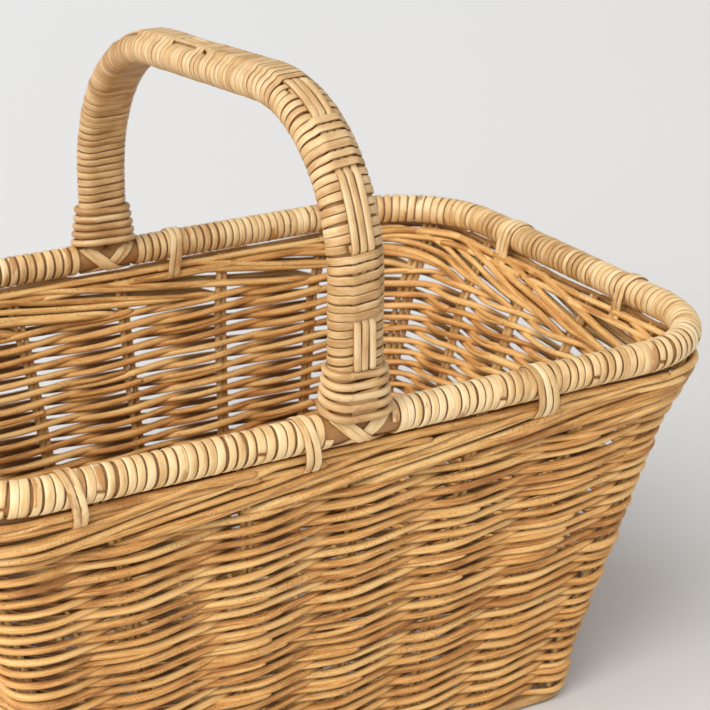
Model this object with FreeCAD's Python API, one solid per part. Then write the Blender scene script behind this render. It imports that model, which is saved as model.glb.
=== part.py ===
import FreeCAD, Part
import math
import os
from FreeCAD import Vector

# Rattan sewing basket: an open, flared, rounded rectangle of twined wickerwork with a wrapped rim
# and one fixed hoop handle across its middle. Millimetres. Origin: middle of the footprint, on the
# table. X runs along the length, Y across the width, Z up. The front is the -Y side.

# Rim
RIM_HALF_LENGTH = 210.0      # to the pole's centre line
RIM_HALF_WIDTH = 134.7
RIM_CORNER = 55.5
RIM_HEIGHT = 197.0           # pole centre above the table
RIM_POLE_R = 6.7
PEEL = 1.3                   # thickness of the flat rattan peel that wraps the rim and the handle
GAP = 0.05                   # clearance between pieces that lie against each other

# Woven wall, measured on its middle surface
FOOT_HALF_LENGTH = 141.0
FOOT_HALF_WIDTH = 102.5
FOOT_CORNER = 13.0
END_FLARE = 0.345            # outward run per unit of height, on the short ends
SIDE_FLARE = 0.183           # the same on the long sides
CORNER_GROWTH = 0.18         # growth of the corner radius per unit of height
UPSETT_START = 8.0           # the wall rises straight up to here
UPSETT_LENGTH = 26.0         # and leans out gradually over this height
BORDER_START = 156.0         # above this the ends lean out further, to meet the rim
END_REACH = 8.0              # how much further, at the stake tops
STAKE_FOOT = 7.0
STAKE_TOP = 187.0
BORDER_BEND = 5.0            # half the length over which a stake bends at the border
STRAIGHT_ENOUGH = 0.003      # half a bend, in radians, that is left out of a rod

# Rods
STAKE_R = 1.7
WEAVER_R = 2.0
BORDER_R = 1.75
WEAVER_OFFSET = 4.4          # weaver's centre line from the wall's middle surface
COURSE_PITCH = 6.4
FIRST_COURSE = 9.3
COURSES = 25
SPANS_LONG = 6               # gaps between stakes from corner to corner, along a long side
SPANS_SHORT = 5
STAKE_SHIFT = -2.0           # the stakes stand this far round from the corners and side middles
PAIR_PITCH = 3.6             # between the two rods of one stake
CORNER_PITCH = 4.0           # between the three rods of a corner stake

# Base
FRAME_R = 3.5
FRAME_Z = 3.2                # a little under FRAME_R, so the table flattens the underside
STICK_R = 2.0
STICK_Z = 5.3
STICKS = 9
BASE_WEAVER_R = 1.6
BASE_WEAVER_PITCH = 5.0
BASE_WEAVERS = 52
BASE_CLEARANCE = 0.5         # between the base rods and the wall round them

# Border: bent-over stake ends that run along the wall just under the rim
OUTER_BORDER_Z = (168.7, 172.5, 176.2, 181.7, 185.5)
INNER_BORDER_Z = (168.6, 172.5, 176.3)
OUTER_BORDER_OFFSET = 4.9
INNER_BORDER_OFFSET = -4.6
LASHING_Z = 178.9            # the rim lashings pass through the border at this height
LASHING_SPREAD = 4.0         # the inner leg of a lashing slants this far inward
LASHING_WIDTH = 3.6
LASHING_PITCH = 4.4
LASHINGS_LONG = (-147.0, -35.0, 92.0)     # places along a long side
LASHINGS_SHORT = (-55.0, 50.0)            # places along a short end

# Handle
HANDLE_POLE_R = 6.0
HANDLE_POLE_PITCH = 12.1
FRONT_CROWN = 341.0          # height of the top's centre line, carried on to above each foot
BACK_CROWN = 322.6           # the handle is lower at the back
FRONT_BEND = 71.2            # bend radius of the centre line
BACK_BEND = 86.8
FRONT_FOOT_X = -8.0          # the handle stands slightly out of square
BACK_FOOT_X = -5.0
NAIL_R = 1.0
NAIL_LENGTH = 32.0
NAIL_HEAD_R = 2.0
NAIL_HEAD = 0.8
BARE_HALF = 17.0             # half the length of rim left unwrapped under a foot
FOOT_RISE = 8.9              # the handle wrapping starts this far above the rim's centre line
STRAND_WIDTH = 3.5           # the three flat strands along the outer face
STRAND_THICKNESS = 2.0
STRAND_PITCH = 3.8
STRAND_START = 1.0           # they start this far above the collar
COLLAR_RINGS = 5
COLLAR_PITCH = 4.2
COLLAR_ROD = 3.6             # height of a ring
COLLAR_THICKNESS = 2.5
COLLAR_GROWTH = 0.55         # each lower ring stands this much further out
CROSS_WIDTH = 4.6            # the crossed strips of peel that tie each foot to the rim
CROSS_TILT = 32.0
CROSS_TOP = 2.8              # their upper ends, above the rim's centre line
CROSS_WRAP = 0.93            # how far down the rim they reach, as a fraction of their radius


def lean(z):
    """Height over which the wall has leaned out, for a straight lean that starts gradually."""
    rise = z - UPSETT_START
    if rise <= 0:
        return 0.0
    if rise < UPSETT_LENGTH:
        return rise * rise / (2 * UPSETT_LENGTH)
    return rise - UPSETT_LENGTH / 2


def wall_plan(z):
    """Half length, half width and corner radius of the wall's middle surface at height z."""
    reach = END_REACH * max(0.0, z - BORDER_START) / (STAKE_TOP - BORDER_START)
    half_length = FOOT_HALF_LENGTH + END_FLARE * lean(z) + reach
    half_width = FOOT_HALF_WIDTH + SIDE_FLARE * lean(z)
    return half_length, half_width, FOOT_CORNER + CORNER_GROWTH * lean(z)


def plan_point(plan, s):
    """Point and outward normal at arc length s along a rounded rectangle, anticlockwise from the
    middle of the front side."""
    half_length, half_width, radius = plan
    run_x = half_length - radius
    run_y = half_width - radius
    arc = radius * math.pi / 2
    sides = ((0, -1, run_x, half_width), (1, 0, run_y, half_length),
             (0, 1, run_x, half_width), (-1, 0, run_y, half_length))
    s = (s + run_x) % (4 * (run_x + run_y) + 4 * arc)
    for nx, ny, run, reach in sides:
        if s <= 2 * run:
            along = s - run
            return nx * reach - ny * along, ny * reach + nx * along, nx, ny
        s -= 2 * run
        if s <= arc:
            turn = math.atan2(ny, nx) + s / radius
            centre_x = nx * (reach - radius) - ny * run
            centre_y = ny * (reach - radius) + nx * run
            nx, ny = math.cos(turn), math.sin(turn)
            return centre_x + radius * nx, centre_y + radius * ny, nx, ny
        s -= arc
    return plan_point(plan, 0.0)


def stake_lengths(plan):
    """Arc lengths of the stakes round the wall; the corner stakes come first on each side."""
    half_length, half_width, radius = plan
    arc = radius * math.pi / 2
    long_run = 2 * (half_length - radius) + arc
    short_run = 2 * (half_width - radius) + arc
    start = -long_run / 2
    places = []
    for run, spans in ((long_run, SPANS_LONG), (short_run, SPANS_SHORT)) * 2:
        places += [start + run * i / spans for i in range(spans)]
        start += run
    return [place + STAKE_SHIFT for place in places]


def rounded_wire(plan, offset, z):
    """Closed wire of a rounded rectangle at height z, moved outward by offset."""
    half_length, half_width, radius = plan
    half_length += offset
    half_width += offset
    radius += offset
    run_x = half_length - radius
    run_y = half_width - radius
    corners = ((run_x, -run_y, -90), (run_x, run_y, 0), (-run_x, run_y, 90), (-run_x, -run_y, 180))
    edges = []
    last = Vector(-run_x, -half_width, z)
    for x, y, start in corners:
        arc = Part.makeCircle(radius, Vector(x, y, z), Vector(0, 0, 1), start, start + 90)
        first = arc.valueAt(arc.FirstParameter)
        edges += [Part.makeLine(last, first), arc]
        last = arc.valueAt(arc.LastParameter)
    return Part.Wire(edges)


def sweep(spine, profile, solid=True):
    return spine.makePipeShell([profile], solid, False)


def hoop(plan, offset, z, rod_r):
    """Rod of radius rod_r bent into a rounded rectangle at height z."""
    spine = rounded_wire(plan, offset, z)
    start = spine.Edges[0].Vertexes[0].Point
    return sweep(spine, Part.Wire(Part.makeCircle(rod_r, start, Vector(1, 0, 0))))


def bent_line(points, reaches):
    """Wire of straight lines through the points. Each inner point has a reach: how far from it the
    bend that rounds it off begins and ends."""
    edges = []
    last = points[0]
    for before, knee, after, reach in zip(points, points[1:], points[2:], reaches):
        back = (before - knee).normalize()
        on = (after - knee).normalize()
        half_turn = (math.pi - back.getAngle(on)) / 2
        if half_turn < STRAIGHT_ENOUGH:
            continue
        bend = reach / math.tan(half_turn)
        middle = (back + on).normalize() * (bend / math.cos(half_turn) - bend)
        edges.append(Part.makeLine(last, knee + back * reach))
        edges.append(Part.Arc(knee + back * reach, knee + middle, knee + on * reach).toShape())
        last = knee + on * reach
    edges.append(Part.makeLine(last, points[-1]))
    return Part.Wire(edges)


def bent_rod(points, reaches, rod_r):
    """Rod of radius rod_r through the points."""
    profile = Part.Wire(Part.makeCircle(rod_r, points[0], points[1] - points[0]))
    return sweep(bent_line(points, reaches), profile)


def save(name, solids):
    shape = solids[0] if len(solids) == 1 else Part.makeCompound(solids)
    shape.exportStep("parts/" + name + ".step")


# --- base -------------------------------------------------------------------------------------

def base_frame():
    """Pole bent round the foot of the basket, with a flat underside to stand on."""
    ring = hoop(wall_plan(0), 0, FRAME_Z, FRAME_R)
    reach = 2 * FOOT_HALF_LENGTH
    table = Part.makeBox(2 * reach, 2 * reach, reach, Vector(-reach, -reach, -reach))
    return [ring.cut(table)]


def base_sticks():
    length = 2 * (FOOT_HALF_LENGTH - FRAME_R - 2 * BASE_CLEARANCE)
    pitch = 2 * (FOOT_HALF_WIDTH - FRAME_R) / (STICKS + 1)
    rods = []
    for i in range(STICKS):
        y = (i - (STICKS - 1) / 2) * pitch
        rods.append(Part.makeCylinder(STICK_R, length, Vector(-length / 2, y, STICK_Z), Vector(1, 0, 0)))
    return rods


def base_weavers():
    """Rods across the base, one above and the next below the sticks."""
    inside = FOOT_HALF_WIDTH - WEAVER_OFFSET - WEAVER_R - BASE_CLEARANCE
    lift = STICK_R + BASE_WEAVER_R + GAP
    rods = []
    for i in range(BASE_WEAVERS):
        x = (i - (BASE_WEAVERS - 1) / 2) * BASE_WEAVER_PITCH
        z = STICK_Z + (lift if i % 2 else -lift)
        start = Vector(x, -inside, z)
        rods.append(Part.makeCylinder(BASE_WEAVER_R, 2 * inside, start, Vector(0, 1, 0)))
    return rods


# --- wall -------------------------------------------------------------------------------------

def stake(index, side_step):
    """One rod of stake number index, side_step along the wall from the stake's middle."""
    points = []
    upsett = UPSETT_START + UPSETT_LENGTH / 2
    for height, plan_height in ((STAKE_FOOT, 0), (upsett, 0), (BORDER_START, BORDER_START),
                                (STAKE_TOP, STAKE_TOP)):
        plan = wall_plan(plan_height)
        x, y, _, _ = plan_point(plan, stake_lengths(plan)[index] + side_step)
        points.append(Vector(x, y, height))
    return bent_rod(points, (UPSETT_LENGTH / 2, BORDER_BEND), STAKE_R)


def is_corner(index):
    half_round = SPANS_LONG + SPANS_SHORT
    return index % half_round in (0, SPANS_LONG)


def stakes(corners):
    steps = (-CORNER_PITCH, 0, CORNER_PITCH) if corners else (-PAIR_PITCH / 2, PAIR_PITCH / 2)
    count = 2 * (SPANS_LONG + SPANS_SHORT)
    return [stake(i, step) for i in range(count) if is_corner(i) == corners for step in steps]


def weave_course(number):
    """The two weavers of one course: one outside the stakes and one inside them."""
    z = FIRST_COURSE + COURSE_PITCH * number
    plan = wall_plan(z)
    return [hoop(plan, WEAVER_OFFSET, z, WEAVER_R), hoop(plan, -WEAVER_OFFSET, z, WEAVER_R)]


def border_rods(heights, offset):
    return [hoop(wall_plan(z), offset, z, BORDER_R) for z in heights]


# --- rim --------------------------------------------------------------------------------------

RIM_PLAN = (RIM_HALF_LENGTH, RIM_HALF_WIDTH, RIM_CORNER)


def rim_pole():
    """Pole of the rim, bored for the nails that hold the handle."""
    pole = hoop(RIM_PLAN, 0, RIM_HEIGHT, RIM_POLE_R)
    for hole in nail_shanks(NAIL_R + GAP):
        pole = pole.cut(hole)
    return [pole]


def rim_half_wire(right):
    """Centre line of one end of the rim, from foot to foot."""
    sign = 1 if right else -1
    run_x = RIM_HALF_LENGTH - RIM_CORNER
    run_y = RIM_HALF_WIDTH - RIM_CORNER
    z = RIM_HEIGHT
    front = Vector(FRONT_FOOT_X + sign * BARE_HALF, -RIM_HALF_WIDTH, z)
    back = Vector(BACK_FOOT_X + sign * BARE_HALF, RIM_HALF_WIDTH, z)
    slant = RIM_CORNER * math.sqrt(0.5)
    edges = [Part.makeLine(front, Vector(sign * run_x, -RIM_HALF_WIDTH, z))]
    edges.append(Part.Arc(Vector(sign * run_x, -RIM_HALF_WIDTH, z),
                          Vector(sign * (run_x + slant), -run_y - slant, z),
                          Vector(sign * RIM_HALF_LENGTH, -run_y, z)).toShape())
    edges.append(Part.makeLine(Vector(sign * RIM_HALF_LENGTH, -run_y, z),
                               Vector(sign * RIM_HALF_LENGTH, run_y, z)))
    edges.append(Part.Arc(Vector(sign * RIM_HALF_LENGTH, run_y, z),
                          Vector(sign * (run_x + slant), run_y + slant, z),
                          Vector(sign * run_x, RIM_HALF_WIDTH, z)).toShape())
    edges.append(Part.makeLine(Vector(sign * run_x, RIM_HALF_WIDTH, z), back))
    return Part.Wire(edges)


def rim_wrap():
    """Peel sleeve round the rim pole, one half on each side of the handle."""
    halves = []
    for right in (False, True):
        spine = rim_half_wire(right)
        start = spine.Edges[0].Vertexes[0].Point
        rings = [Part.Wire(Part.makeCircle(r, start, Vector(1, 0, 0)))
                 for r in (RIM_POLE_R + PEEL, RIM_POLE_R + GAP)]
        outer, inner = [sweep(spine, ring) for ring in rings]
        halves.append(outer.cut(inner))
    return halves


def band(outline, width):
    """Flat strip of peel bent round an outline in the YZ plane, centred on that plane."""
    ring = Part.Face(outline.makeOffset2D(PEEL)).cut(Part.Face(outline))
    ring.translate(Vector(-width / 2, 0, 0))
    return ring.extrude(Vector(width, 0, 0))


def loop_outline():
    """Outline of a rim lashing in the YZ plane, with the rim's centre at the origin and the outside
    of the basket towards +Y: round the rim, then down past the top border rods on both faces."""
    top_r = RIM_POLE_R + PEEL + GAP
    bottom = LASHING_Z + PEEL / 2 - RIM_HEIGHT
    outside = Vector(0, top_r, 0)
    inside = Vector(0, -top_r, 0)
    outside_low = Vector(0, top_r, bottom)
    inside_low = Vector(0, -top_r - LASHING_SPREAD, bottom)
    arc = Part.Arc(outside, Vector(0, 0, top_r), inside).toShape()
    return Part.Wire([Part.makeLine(outside_low, outside), arc, Part.makeLine(inside, inside_low),
                      Part.makeLine(inside_low, outside_low)])


def lashing_places():
    """Places of the lashings on the rim: x, y, and the bearing in degrees of the outside there."""
    places = []
    for x in LASHINGS_LONG:
        places.append((x, -RIM_HALF_WIDTH, -90))
        places.append((-x, RIM_HALF_WIDTH, 90))
    for y in LASHINGS_SHORT:
        places.append((RIM_HALF_LENGTH, y, 0))
        places.append((-RIM_HALF_LENGTH, -y, 180))
    return places


def rim_lashings():
    solids = []
    for x, y, facing in lashing_places():
        for step in (-0.5, 0.5):
            strip = band(loop_outline(), LASHING_WIDTH)
            strip.translate(Vector(step * LASHING_PITCH, 0, 0))
            strip.rotate(Vector(0, 0, 0), Vector(0, 0, 1), facing - 90)
            strip.translate(Vector(x, y, RIM_HEIGHT))
            solids.append(strip)
    return solids


# --- handle -----------------------------------------------------------------------------------

def nail_places():
    """Lowest points of the rim pole under the two handle poles, at both feet."""
    z = RIM_HEIGHT - RIM_POLE_R
    places = []
    for foot_x, y in ((FRONT_FOOT_X, -RIM_HALF_WIDTH), (BACK_FOOT_X, RIM_HALF_WIDTH)):
        places += [Vector(foot_x + side * HANDLE_POLE_PITCH / 2, y, z) for side in (-1, 1)]
    return places


def nail_shanks(radius):
    return [Part.makeCylinder(radius, NAIL_LENGTH, place) for place in nail_places()]


def handle_nails():
    """Wire nails driven up through the rim pole into the handle poles."""
    nails = []
    for shank, place in zip(nail_shanks(NAIL_R), nail_places()):
        head = Part.makeCylinder(NAIL_HEAD_R, NAIL_HEAD, place - Vector(0, 0, NAIL_HEAD + GAP))
        neck = Part.makeCylinder(NAIL_R, NAIL_HEAD, place - Vector(0, 0, NAIL_HEAD))
        nails.append(shank.fuse([head, neck]).removeSplitter())
    return nails


def handle_wire(start_above_rim, outward=0.0):
    """Centre line of the handle in the YZ plane, or a line parallel to it further outward."""
    fall = math.atan2(FRONT_CROWN - BACK_CROWN, 2 * RIM_HALF_WIDTH)
    lift = outward / math.cos(fall)
    slip = outward * math.tan(fall)
    half = RIM_HALF_WIDTH + outward
    low = RIM_HEIGHT + start_above_rim
    points = [Vector(0, -half, low), Vector(0, -half, FRONT_CROWN + lift + slip),
              Vector(0, half, BACK_CROWN + lift - slip), Vector(0, half, low)]
    reaches = ((FRONT_BEND + outward) * math.tan(math.pi / 4 + fall / 2),
               (BACK_BEND + outward) * math.tan(math.pi / 4 - fall / 2))
    return bent_line(points, reaches)


def set_on_rim(solid):
    """Turn the handle from the YZ plane on to its two feet."""
    turn = math.degrees(math.atan2(FRONT_FOOT_X - BACK_FOOT_X, 2 * RIM_HALF_WIDTH))
    solid.rotate(Vector(0, 0, 0), Vector(0, 0, 1), turn)
    solid.translate(Vector((FRONT_FOOT_X + BACK_FOOT_X) / 2, 0, 0))
    return solid


def stadium(half_straight, radius, centre, u, v):
    """Closed outline with two straight sides along u and round ends, about centre."""
    a = centre + u * half_straight
    b = centre - u * half_straight
    edges = [Part.makeLine(b + v * radius, a + v * radius)]
    edges.append(Part.Arc(a + v * radius, a + u * radius, a - v * radius).toShape())
    edges.append(Part.makeLine(a - v * radius, b - v * radius))
    edges.append(Part.Arc(b - v * radius, b - u * radius, b + v * radius).toShape())
    return Part.Wire(edges)


def handle_pole(side):
    """One of the two poles, its ends hollowed to sit on the rim pole."""
    spine = handle_wire(0.0)
    start = Vector(side * HANDLE_POLE_PITCH / 2, -RIM_HALF_WIDTH, RIM_HEIGHT)
    spine.translate(Vector(side * HANDLE_POLE_PITCH / 2, 0, 0))
    pole = sweep(spine, Part.Wire(Part.makeCircle(HANDLE_POLE_R, start, Vector(0, 0, 1))))
    pole = set_on_rim(pole)
    saddle = hoop(RIM_PLAN, 0, RIM_HEIGHT, RIM_POLE_R + GAP)
    pole = pole.cut([saddle] + nail_shanks(NAIL_R + GAP))
    return [max(pole.Solids, key=lambda s: s.Volume)]


def handle_sleeve(start_above_rim, clearance, thickness):
    """Tube of stadium section along the whole handle."""
    spine = handle_wire(start_above_rim)
    start = Vector(0, -RIM_HALF_WIDTH, RIM_HEIGHT + start_above_rim)
    half = HANDLE_POLE_PITCH / 2
    x_axis, y_axis = Vector(1, 0, 0), Vector(0, 1, 0)
    outer = sweep(spine, stadium(half, HANDLE_POLE_R + clearance + thickness, start, x_axis, y_axis))
    inner = sweep(spine, stadium(half, HANDLE_POLE_R + clearance, start, x_axis, y_axis))
    return outer.cut(inner)


def handle_wrap():
    return [set_on_rim(handle_sleeve(FOOT_RISE, GAP, PEEL))]


def handle_strands():
    """Three flat strands laid side by side along the outer face of the handle."""
    outward = HANDLE_POLE_R + PEEL + 3 * GAP + STRAND_THICKNESS / 2
    start_above = FOOT_RISE + COLLAR_RINGS * COLLAR_PITCH + STRAND_START
    solids = []
    for i in (-1, 0, 1):
        spine = handle_wire(start_above, outward)
        x = i * STRAND_PITCH
        spine.translate(Vector(x, 0, 0))
        start = Vector(x, -RIM_HALF_WIDTH - outward, RIM_HEIGHT + start_above)
        half = (STRAND_WIDTH - STRAND_THICKNESS) / 2
        profile = stadium(half, STRAND_THICKNESS / 2, start, Vector(1, 0, 0), Vector(0, 1, 0))
        solids.append(set_on_rim(sweep(spine, profile)))
    return solids


def handle_collar(front):
    """Rings of peel wound round a foot of the handle, each lower one larger."""
    y = -RIM_HALF_WIDTH if front else RIM_HALF_WIDTH
    solids = []
    for i in range(COLLAR_RINGS):
        z = RIM_HEIGHT + FOOT_RISE + COLLAR_PITCH * (i + 0.5)
        inner_r = HANDLE_POLE_R + PEEL + 3 * GAP + COLLAR_GROWTH * (COLLAR_RINGS - 1 - i)
        base = Vector(0, y, z - COLLAR_ROD / 2)
        half = HANDLE_POLE_PITCH / 2
        rings = [Part.Face(stadium(half, r, base, Vector(1, 0, 0), Vector(0, 1, 0)))
                 for r in (inner_r + COLLAR_THICKNESS, inner_r)]
        ring = rings[0].cut(rings[1]).extrude(Vector(0, 0, COLLAR_ROD))
        solids.append(set_on_rim(ring))
    return solids


def cross_strip(facing, tilt, layer):
    """Strip of peel over one face of a rim pole that lies along X at the origin."""
    inner_r = RIM_POLE_R + 2 * GAP + layer * (PEEL + GAP)
    length = 6 * RIM_POLE_R
    low = -CROSS_WRAP * inner_r
    start = Vector(-length / 2, 0, 0)
    tube = Part.makeCylinder(inner_r + PEEL, length, start, Vector(1, 0, 0))
    tube = tube.cut(Part.makeCylinder(inner_r, length, start, Vector(1, 0, 0)))
    slab = Part.makeBox(CROSS_WIDTH, length, 2 * length, Vector(-CROSS_WIDTH / 2, 0, -length))
    slab.rotate(Vector(0, 0, 0), Vector(0, 1, 0), tilt)
    if facing < 0:
        slab.rotate(Vector(0, 0, 0), Vector(0, 0, 1), 180)
    window = Part.makeBox(2 * length, 2 * length, CROSS_TOP - low, Vector(-length, -length, low))
    return tube.common(slab).common(window).Solids[0]


def cross_lashing(front):
    """Two crossed strips of peel over the rim on each face of it, under a foot of the handle."""
    y = -RIM_HALF_WIDTH if front else RIM_HALF_WIDTH
    foot_x = FRONT_FOOT_X if front else BACK_FOOT_X
    solids = []
    for facing in (-1, 1):
        for layer, tilt in ((0, CROSS_TILT), (1, -CROSS_TILT)):
            strip = cross_strip(facing, tilt, layer)
            strip.translate(Vector(foot_x, y, RIM_HEIGHT))
            solids.append(strip)
    return solids


def main():
    os.makedirs("parts", exist_ok=True)
    save("base_frame", base_frame())
    save("base_sticks", base_sticks())
    save("base_weavers", base_weavers())
    save("side_stakes", stakes(False))
    save("corner_stakes", stakes(True))
    for number in range(COURSES):
        save("weave_course_%02d" % (number + 1), weave_course(number))
    save("border_rods_outer", border_rods(OUTER_BORDER_Z, OUTER_BORDER_OFFSET))
    save("border_rods_inner", border_rods(INNER_BORDER_Z, INNER_BORDER_OFFSET))
    save("rim_pole", rim_pole())
    save("rim_wrap", rim_wrap())
    save("rim_lashings", rim_lashings())
    save("handle_pole_left", handle_pole(-1))
    save("handle_pole_right", handle_pole(1))
    save("handle_nails", handle_nails())
    save("handle_wrap", handle_wrap())
    save("handle_strands", handle_strands())
    save("handle_collar_front", handle_collar(True))
    save("handle_collar_back", handle_collar(False))
    save("cross_lashing_front", cross_lashing(True))
    save("cross_lashing_back", cross_lashing(False))


main()
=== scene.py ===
import math

import bpy
import numpy as np
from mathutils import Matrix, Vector

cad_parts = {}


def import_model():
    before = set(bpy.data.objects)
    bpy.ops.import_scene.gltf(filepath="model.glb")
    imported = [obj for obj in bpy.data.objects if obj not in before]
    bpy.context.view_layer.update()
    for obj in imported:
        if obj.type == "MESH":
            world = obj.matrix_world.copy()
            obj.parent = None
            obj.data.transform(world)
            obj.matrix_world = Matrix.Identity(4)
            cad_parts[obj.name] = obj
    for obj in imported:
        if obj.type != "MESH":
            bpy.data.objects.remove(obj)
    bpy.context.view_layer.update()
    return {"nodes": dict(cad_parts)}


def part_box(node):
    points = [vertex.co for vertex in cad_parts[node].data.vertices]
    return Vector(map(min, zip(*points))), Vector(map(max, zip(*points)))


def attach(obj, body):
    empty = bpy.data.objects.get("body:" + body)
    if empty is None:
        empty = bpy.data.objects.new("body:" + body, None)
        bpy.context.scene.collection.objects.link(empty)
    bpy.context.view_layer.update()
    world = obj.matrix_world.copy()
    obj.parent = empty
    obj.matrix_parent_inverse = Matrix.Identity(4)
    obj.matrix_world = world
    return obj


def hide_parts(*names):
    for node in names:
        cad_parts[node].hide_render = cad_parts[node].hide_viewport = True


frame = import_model()

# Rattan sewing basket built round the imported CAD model. Metres throughout. u counts stakes round the
# wall, anticlockwise from above, starting at the front left corner; z is height above the table.

MM = 0.001
ROD_SIDES = 10
ROD_STEP = 2.2 * MM              # spacing of the rings of vertices along a rod
END_SIZE = 0.72                  # size of a rod's first and last ring, against its full section
FIBRE_SHIFT = 7.0                # metres; sets each rod's grain at its own place in the noise

SPANS = (6, 5, 6, 5)             # gaps between stakes on the front, right, back and left
STAKES = sum(SPANS)
STAKE_SHIFT = -2.0 * MM          # of all stakes along the wall
STAKE_GAP = 52 * MM              # between stakes, halfway up
STAKE_GAP_HIGH = 55 * MM         # and under the rim
FOOT_CORNER = 13.0 * MM
CORNER_GROWTH = 0.18             # growth of the corner radius per unit of height, once the wall leans
UPSETT_START = 8.0 * MM          # height at which the wall begins to lean out
UPSETT_LENGTH = 26.0 * MM        # height over which it reaches its full lean

random = np.random.default_rng(20)


# --- where things are: all read from the CAD nodes ---------------------------------------------

def node_box(node):
    low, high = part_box(node)
    return np.array(low), np.array(high)


def node_middle(node):
    low, high = node_box(node)
    return (low + high) / 2


COURSES = sorted(n for n in frame["nodes"] if n.startswith("weave_course_"))
WEAVER_R = (node_box(COURSES[0])[1][2] - node_box(COURSES[0])[0][2]) / 2
WEAVER_OFFSET = 4.4 * MM         # of a course's two hoops from the wall's middle surface
COURSE_Z = np.array([node_middle(n)[2] for n in COURSES])
COURSE_LENGTH = np.array([node_box(n)[1][0] for n in COURSES]) - WEAVER_OFFSET - WEAVER_R
COURSE_WIDTH = np.array([node_box(n)[1][1] for n in COURSES]) - WEAVER_OFFSET - WEAVER_R
FOOT_LENGTH, FOOT_WIDTH = COURSE_LENGTH[0], COURSE_WIDTH[0]

RIM_LOW, RIM_HIGH = node_box("rim_pole")
RIM_POLE_R = (RIM_HIGH[2] - RIM_LOW[2]) / 2
RIM_Z = (RIM_HIGH[2] + RIM_LOW[2]) / 2
RIM_CORNER = 55.5 * MM
RIM_PLAN = (RIM_HIGH[0] - RIM_POLE_R, RIM_HIGH[1] - RIM_POLE_R, RIM_CORNER)
RIM_WRAP_R = (node_box("rim_wrap")[1][2] - node_box("rim_wrap")[0][2]) / 2
PEEL = RIM_WRAP_R - RIM_POLE_R
BARE_HALF = 17 * MM              # half the bare length of rim pole under each foot
FRONT_FOOT = node_middle("handle_collar_front")
BACK_FOOT = node_middle("handle_collar_back")


def extend(z, known_z, known):
    """Linear interpolation that carries on past both ends of the known values."""
    low_slope = (known[1] - known[0]) / (known_z[1] - known_z[0])
    high_slope = (known[-1] - known[-2]) / (known_z[-1] - known_z[-2])
    inside = np.interp(z, known_z, known)
    inside = np.where(z < known_z[0], known[0] + low_slope * (z - known_z[0]), inside)
    return np.where(z > known_z[-1], known[-1] + high_slope * (z - known_z[-1]), inside)


def wall_plan(z):
    """Half length, half width and corner radius of the wall's middle surface at height z."""
    z = np.asarray(z, float)
    rise = np.clip(z - UPSETT_START, 0, None)
    lean = np.where(rise < UPSETT_LENGTH, rise ** 2 / (2 * UPSETT_LENGTH), rise - UPSETT_LENGTH / 2)
    return (extend(z, COURSE_Z, COURSE_LENGTH), extend(z, COURSE_Z, COURSE_WIDTH),
            FOOT_CORNER + CORNER_GROWTH * lean)


def rounded(plan, s):
    """Points and outward normals at arc lengths s round a rounded rectangle, anticlockwise from the
    middle of the front side. Returns x, y, nx, ny."""
    half_length, half_width, radius = plan
    run_x, run_y = half_length - radius, half_width - radius
    arc = radius * math.pi / 2
    s = np.mod(s + run_x, 4 * (run_x + run_y) + 4 * arc)
    turn = np.zeros_like(s) - math.pi / 2
    centre_x, centre_y = np.minimum(s, 2 * run_x) - run_x, -run_y + 0 * s
    before = 2 * run_x
    corners = ((0, 1, run_y), (-1, 0, run_x), (0, -1, run_y), (1, 0, 0 * run_x))
    for step_x, step_y, run in corners:
        turn = turn + np.clip(s - before, 0, arc) / radius
        before = before + arc
        ahead = np.clip(s - before, 0, 2 * run)
        centre_x, centre_y = centre_x + step_x * ahead, centre_y + step_y * ahead
        before = before + 2 * run
    nx, ny = np.cos(turn), np.sin(turn)
    return centre_x + radius * nx, centre_y + radius * ny, nx, ny


STAKE_DRIFT = random.normal(0, 1.0 * MM, STAKES)       # each stake stands a little out of place
STAKE_LEAN = random.normal(0, 0.012, STAKES)           # and leans a little along the wall


def wall_length(u, z):
    """Arc length round the wall at stake number u (fractions lie between stakes) and height z."""
    half_length, half_width, radius = wall_plan(z)
    arc = radius * math.pi / 2
    long_run = 2 * (half_length - radius) + arc
    short_run = 2 * (half_width - radius) + arc
    u = np.mod(u, STAKES)
    s = -long_run / 2 + STAKE_SHIFT
    first = 0
    for spans, run in zip(SPANS, (long_run, short_run, long_run, short_run)):
        s = s + run * np.clip(u - first, 0, spans) / spans
        first += spans
    places = np.arange(STAKES + 1)
    drift = np.interp(u, places, np.append(STAKE_DRIFT, STAKE_DRIFT[0]))
    lean = np.interp(u, places, np.append(STAKE_LEAN, STAKE_LEAN[0]))
    return s + drift + lean * (z - RIM_Z / 2)


def wall_point(u, z, out=0.0, aside=0.0):
    """Points of the wall, moved out from its middle surface and aside along it. Also the normals."""
    u, z, out, aside = np.broadcast_arrays(*[np.asarray(v, float) for v in (u, z, out, aside)])
    x, y, nx, ny = rounded(wall_plan(z), wall_length(u, z) + aside)
    points = np.stack([x + nx * out, y + ny * out, z], -1)
    return points, np.stack([nx, ny, 0 * nx], -1)


def waves(t, wavelength, amount, parts=4):
    """Smooth random wander along t, with the given typical wavelength and size."""
    total = np.zeros_like(np.asarray(t, float))
    for part in range(parts):
        length = wavelength * random.uniform(0.6, 1.8)
        total += np.sin(2 * math.pi * (t / length + random.random())) * random.uniform(0.5, 1.0)
    return total * amount / math.sqrt(parts / 2)


def ease(t):
    t = np.clip(t, 0, 1)
    return t * t * (3 - 2 * t)


# --- meshes -------------------------------------------------------------------------------------

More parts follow.
